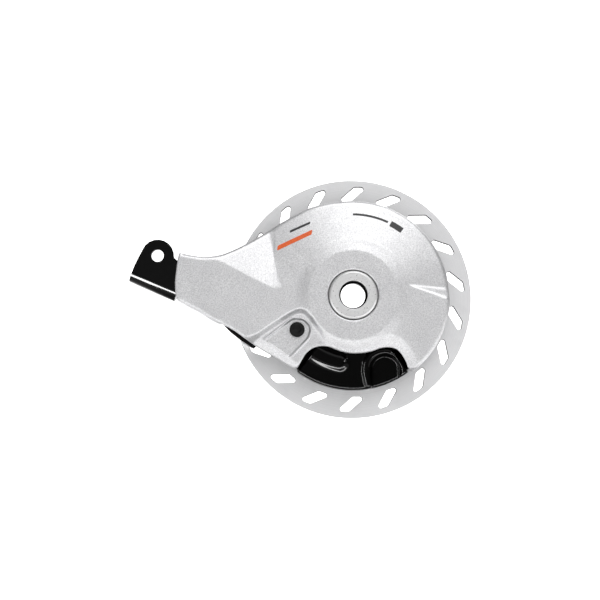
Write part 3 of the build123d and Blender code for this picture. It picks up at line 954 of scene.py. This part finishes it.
def plain_metal(name, colour, rough, stain=(0.2, 0.19, 0.17), stain_amount=0.35, metallic=1.0):
    """Plated or ground metal with soft cloudy stains and fine grain."""
    n = Nodes(name)
    at = n.place()
    cloud = n.noise(at, 160.0, 5.0, 0.6)
    fine = n.noise(at, 1500.0, 3.0, 0.6)
    base = n.mix((*colour, 1.0), (*stain, 1.0), n.span(cloud, 0.0, stain_amount, 0.45, 0.8))
    n.link(base, n.shader.inputs["Base Color"])
    n.link(n.span(fine, rough - 0.06, rough + 0.12, 0.3, 0.7), n.shader.inputs["Roughness"])
    n.set(Metallic=metallic)
    n.bump([(fine, 0.2, 0.00003)])
    return n.mat


def gloss_black(name):
    """Thick black enamel with a slight orange peel and a few dust specks."""
    n = Nodes(name)
    at = n.place()
    peel = n.noise(at, 420.0, 2.0, 0.5)
    dust = n.noise(at, 1900.0, 2.0, 0.8)
    base = n.ramp(dust, [(0.0, (0.0001, 0.0001, 0.0001)), (0.72, (0.0002, 0.0002, 0.0002)),
                         (0.80, (0.006, 0.006, 0.006))])
    n.link(base, n.shader.inputs["Base Color"])
    n.link(n.span(peel, 0.08, 0.13, 0.3, 0.7), n.shader.inputs["Roughness"])
    n.set(Specular_IOR_Level=0.1)
    n.bump([(peel, 0.12, 0.00006)])
    return n.mat


def painted_wall_shade(name):
    """Painted shade on the slots' cut walls: dark grey with faint shear marks and no shine."""
    n = Nodes(name)
    marks = n.noise(n.place(), 900.0, 3.0, 0.6)
    base = n.ramp(marks, [(0.3, (0.012, 0.012, 0.013)), (0.7, (0.035, 0.035, 0.036))])
    n.link(base, n.shader.inputs["Base Color"])
    n.link(n.span(marks, 0.55, 0.75, 0.3, 0.7), n.shader.inputs["Roughness"])
    n.set(Specular_IOR_Level=0.0)
    return n.mat


def rubber(name):
    """Moulded dark rubber, dull and slightly pitted."""
    n = Nodes(name)
    at = n.place()
    pits = n.noise(at, 1400.0, 4.0, 0.7)
    cloud = n.noise(at, 300.0, 3.0, 0.5)
    base = n.ramp(cloud, [(0.3, (0.003, 0.003, 0.003)), (0.75, (0.012, 0.012, 0.012))])
    n.link(base, n.shader.inputs["Base Color"])
    n.link(n.span(pits, 0.55, 0.8, 0.3, 0.7), n.shader.inputs["Roughness"])
    n.set(Specular_IOR_Level=0.2)
    n.bump([(pits, 0.35, 0.00005)])
    return n.mat


def printed(name, dark, light):
    """Screen-printed ink over the paint's grain."""
    n = Nodes(name)
    at = n.place()
    grain = n.noise(at, 1300.0, 4.0, 0.6)
    n.link(n.ramp(grain, [(0.3, dark), (0.7, light)]), n.shader.inputs["Base Color"])
    n.link(n.span(grain, 0.38, 0.52, 0.3, 0.7), n.shader.inputs["Roughness"])
    n.set(Coat_Weight=0.2, Coat_Roughness=0.3)
    n.bump([(grain, 0.25, 0.00003)])
    return n.mat


MATERIALS = {
    "silver_paint": metallic_paint("silver_paint", (0.54, 0.54, 0.55), (0.90, 0.90, 0.91), 0.34),
    "black_paint": gloss_black("black_enamel"),
    "turned_steel": turned_metal("turned_steel", (0.84, 0.84, 0.84), 0.30, 2600.0, 0.15, 0.62),
    "spring_steel": plain_metal("spring_steel", (0.30, 0.30, 0.32), 0.34),
    "dark_rubber": rubber("dark_rubber"),
    # painted shade, dark, for the walls of the disc's slots
    "slot_wall_painted_shade": painted_wall_shade("slot_wall_painted_shade"),
    "dark_bore": plain_metal("dark_bore_steel", (0.004, 0.004, 0.004), 0.5, (0.008, 0.008, 0.008)),
    "zinc_steel": plain_metal("zinc_steel", (0.86, 0.86, 0.85), 0.33, (0.6, 0.59, 0.56), 0.3, 0.65),
    "drum_steel": turned_metal("drum_steel", (0.50, 0.50, 0.50), 0.36, 2600.0, 0.35),
    "shoe_steel": plain_metal("shoe_steel", (0.36, 0.35, 0.34), 0.42, (0.12, 0.09, 0.05), 0.5),
    "aluminium": turned_metal("aluminium_sheet", (0.86, 0.86, 0.87), 0.36, 3300.0, 0.10, 0.45),
    "stripe_orange": printed("ink_orange", (0.62, 0.085, 0.012), (0.78, 0.13, 0.02)),
    "stripe_dark": printed("ink_dark", (0.012, 0.012, 0.013), (0.03, 0.03, 0.032)),
}


# ---- who wears which material -------------------------------------------------------------------

SLOT_WALL_R = 64.3      # faces inside this radius and not square to the axle are slot walls
BEVELLED = ("arm_end_bracket", "brake_link")


def second_material(obj, slot_name, chosen):
    """Gives a second material to the faces that pass the test."""
    obj.data.materials.append(MATERIALS[slot_name])
    for face in obj.data.polygons:
        if chosen(face):
            face.material_index = 1


def axle_distance(face):
    return math.hypot(face.center.x, face.center.z) / MM


def in_bore(face):
    """The bush's bore and its lip are dark, the rest of the bush is bright."""
    low, high = BORE_BLACK_Y
    return axle_distance(face) < BORE_BLACK_R and low * MM < face.center.y < high * MM


def in_slot(face):
    """The disc's slot walls get a painted shade, dark; its rim stays bright."""
    return axle_distance(face) < SLOT_WALL_R and abs(face.normal.y) < 0.9


def bevel_edges(node):
    """Rounds the edges of a bent sheet part, once its faces share their corners."""
    weld = node.modifiers.new("weld", "WELD")
    weld.merge_threshold = 1e-6
    bevel = node.modifiers.new("edges", "BEVEL")
    bevel.width = 0.35 * MM
    bevel.segments = 3
    bevel.limit_method = "ANGLE"
    bevel.angle_limit = math.radians(40)


for obj, slot_name in ((plate, "silver_paint"), (cover, "black_paint"), (disc, "aluminium"),
                       (bush, "turned_steel"), (drum, "drum_steel"), (plug, "dark_rubber"),
                       (stripe_orange, "stripe_orange"), (stripe_short, "stripe_dark"),
                       (stripe_long, "stripe_dark"), (stripe_block, "stripe_dark"),
                       (spring, "spring_steel")):
    obj.data.materials.append(MATERIALS[slot_name])
second_material(bush, "dark_bore", in_bore)
# the disc's slot walls are painted dark as shade
second_material(disc, "slot_wall_painted_shade", in_slot)

slot_of = {part["node"]: part["material_slot"] for part in frame["record"]["subparts"]}
for name, node in frame["nodes"].items():
    node.data.materials.clear()
    node.data.materials.append(MATERIALS[slot_of[name]])
    if name in BEVELLED:
        bevel_edges(node)


# ---- camera, light and stage --------------------------------------------------------------------

CAMERA_AT = (-0.03688, -0.750, -0.07898)
LOOK_AT = (-0.02828, 0.010, -0.00187)
LAMPS_AIM = (0.0, 0.01, 0.0)
FLOOR_Z = -0.24
FLOOR_REACH = 2.6
BOARD_Y = 1.3
BOARD_X = (-0.52, 0.50)
BOARD_TOP = 0.62
STAGE_MIDDLE = (-0.03, 0.11, FLOOR_Z)
# the floor's glow and colour are lower near the stage's middle: a painted shadow under the object
GLOW_FADE = (0.19, 0.29)        # distances from the stage's middle where the glow starts and is full


def build_camera():
    cam = bpy.data.objects.new("camera", bpy.data.cameras.new("camera"))
    bpy.context.scene.collection.objects.link(cam)
    cam.location = CAMERA_AT
    cam.rotation_euler = (Vector(LOOK_AT) - Vector(CAMERA_AT)).to_track_quat("-Z", "Y").to_euler()
    cam.data.lens = 85.3
    cam.data.sensor_width = 36.0
    cam.data.clip_start = 0.01
    cam.data.clip_end = 20.0
    bpy.context.scene.camera = cam
    bpy.context.scene.view_settings.view_transform = "Standard"


def soft_box(name, at, size, power):
    """A rectangular lamp, itself unseen, that faces the object."""
    data = bpy.data.lights.new(name, "AREA")
    data.shape = "RECTANGLE"
    data.size, data.size_y = size
    data.energy = power
    obj = bpy.data.objects.new(name, data)
    obj.location = at
    obj.rotation_euler = (Vector(LAMPS_AIM) - Vector(at)).to_track_quat("-Z", "Y").to_euler()
    obj.visible_camera = False
    bpy.context.scene.collection.objects.link(obj)
    return obj


def lit_group(name, members):
    """The only objects that a lamp lights."""
    group = bpy.data.collections.new(name)
    for obj in members:
        group.objects.link(obj)
    return group


def build_world():
    """Studio surround: grey ahead, a bright band above and below, darker to the lower right."""
    world = bpy.data.worlds.new("studio")
    bpy.context.scene.world = world
    world.use_nodes = True
    tree = world.node_tree
    out = tree.nodes["Background"]
    direction = tree.nodes.new("ShaderNodeTexCoord").outputs["Generated"]
    split = tree.nodes.new("ShaderNodeSeparateXYZ")
    tree.links.new(direction, split.inputs[0])

    def step(axis, lo, hi):
        """Rises from 0 to 1 between lo and hi, or falls when lo is the larger."""
        node = tree.nodes.new("ShaderNodeMapRange")
        node.interpolation_type = "SMOOTHSTEP"
        node.inputs["From Min"].default_value = min(lo, hi)
        node.inputs["From Max"].default_value = max(lo, hi)
        node.inputs["To Min"].default_value = 0.0 if lo < hi else 1.0
        node.inputs["To Max"].default_value = 1.0 if lo < hi else 0.0
        tree.links.new(split.outputs[axis], node.inputs["Value"])
        return node.outputs["Result"]

    def math_node(kind, a, b):
        node = tree.nodes.new("ShaderNodeMath")
        node.operation = kind
        for index, value in ((0, a), (1, b)):
            if hasattr(value, "node"):
                tree.links.new(value, node.inputs[index])
            else:
                node.inputs[index].default_value = value
        return node.outputs[0]

    def product(*factors):
        result = factors[0]
        for factor in factors[1:]:
            result = math_node("MULTIPLY", result, factor)
        return result

    grey = 0.22
    above = product(step("Z", 0.20, 0.40), step("Z", 0.92, 0.70), step("X", -0.26, 0.04),
                    step("X", 0.75, 0.30), step("Y", 0.75, 0.40), 1.6)
    below = product(step("Z", -0.10, -0.34), step("Z", -0.92, -0.72), step("X", 0.55, 0.12))
    lean = math_node("SUBTRACT", split.outputs["Z"], split.outputs["X"])
    lean = math_node("MINIMUM", math_node("MAXIMUM", math_node("ADD", lean, 0.12), 0.0), 0.34)
    lean = product(lean, step("X", -0.45, -0.12))
    level = math_node("ADD", math_node("ADD", math_node("ADD", above, below), grey), lean)
    tree.links.new(level, out.inputs["Strength"])
    out.inputs["Color"].default_value = (1.0, 1.0, 1.0, 1.0)


def stage_piece(name, corners, glow):
    """A white sheet of the stage; its glow and its colour fade to a painted shadow under the object.
    """
    bm = bmesh.new()
    bm.faces.new([bm.verts.new(corner) for corner in corners])
    obj = link_mesh(name, bm)
    n = Nodes(name)
    away = n.add("ShaderNodeVectorMath", operation="DISTANCE")
    away.inputs[1].default_value = STAGE_MIDDLE
    n.link(n.place(), away.inputs[0])
    gap = away.outputs["Value"]
    # near the stage's middle the sheet glows less and is greyer: a painted shadow under the object
    n.link(n.span(gap, 0.0, glow, *GLOW_FADE), n.shader.inputs["Emission Strength"])
    n.link(n.span(gap, 0.48, 0.80, *GLOW_FADE), n.shader.inputs["Base Color"])
    n.set(Roughness=0.9, Emission_Color=(1.0, 1.0, 1.0, 1.0))
    obj.data.materials.append(n.mat)


def build_stage():
    """Pale floor all round, with a painted shadow under the object, and a white board behind it."""
    far = FLOOR_REACH
    left, right = BOARD_X
    stage_piece("pale_floor", [(-far, -far, FLOOR_Z), (far, -far, FLOOR_Z), (far, far, FLOOR_Z),
                               (-far, far, FLOOR_Z)], 0.78)
    stage_piece("white_board", [(left, BOARD_Y, FLOOR_Z), (right, BOARD_Y, FLOOR_Z),
                                (right, BOARD_Y, BOARD_TOP), (left, BOARD_Y, BOARD_TOP)], 1.0)


def build_lamps():
    """Two soft boxes for the whole, and narrow lamps that only the black enamel sees."""
    soft_box("box_above", (0.10, -0.55, 0.75), (0.7, 0.5), 1.5)
    cover_lit = lit_group("cover_lit", [cover])
    bracket_lit = lit_group("bracket_lit", [frame["nodes"][name] for name in BEVELLED])
    for name, at, size, power, group in (
            ("strip_below", (-0.10, -0.26, -0.21), (0.75, 0.03), 5.5, cover_lit),
            ("strip_right", (0.42, -0.42, 0.42), (0.03, 0.5), 7.0, cover_lit),
            ("strip_left", (-0.55, -0.40, -0.06), (0.03, 0.5), 9.0, cover_lit),
            ("fold_lamp", (-0.12, -0.31, -0.15), (0.6, 0.11), 30.0, bracket_lit)):
        soft_box(name, at, size, power).light_linking.receiver_collection = group
    soft_box("box_behind", (0.25, 0.60, 0.55), (0.8, 0.5), 2.0)


build_camera()
build_world()
build_stage()
build_lamps()
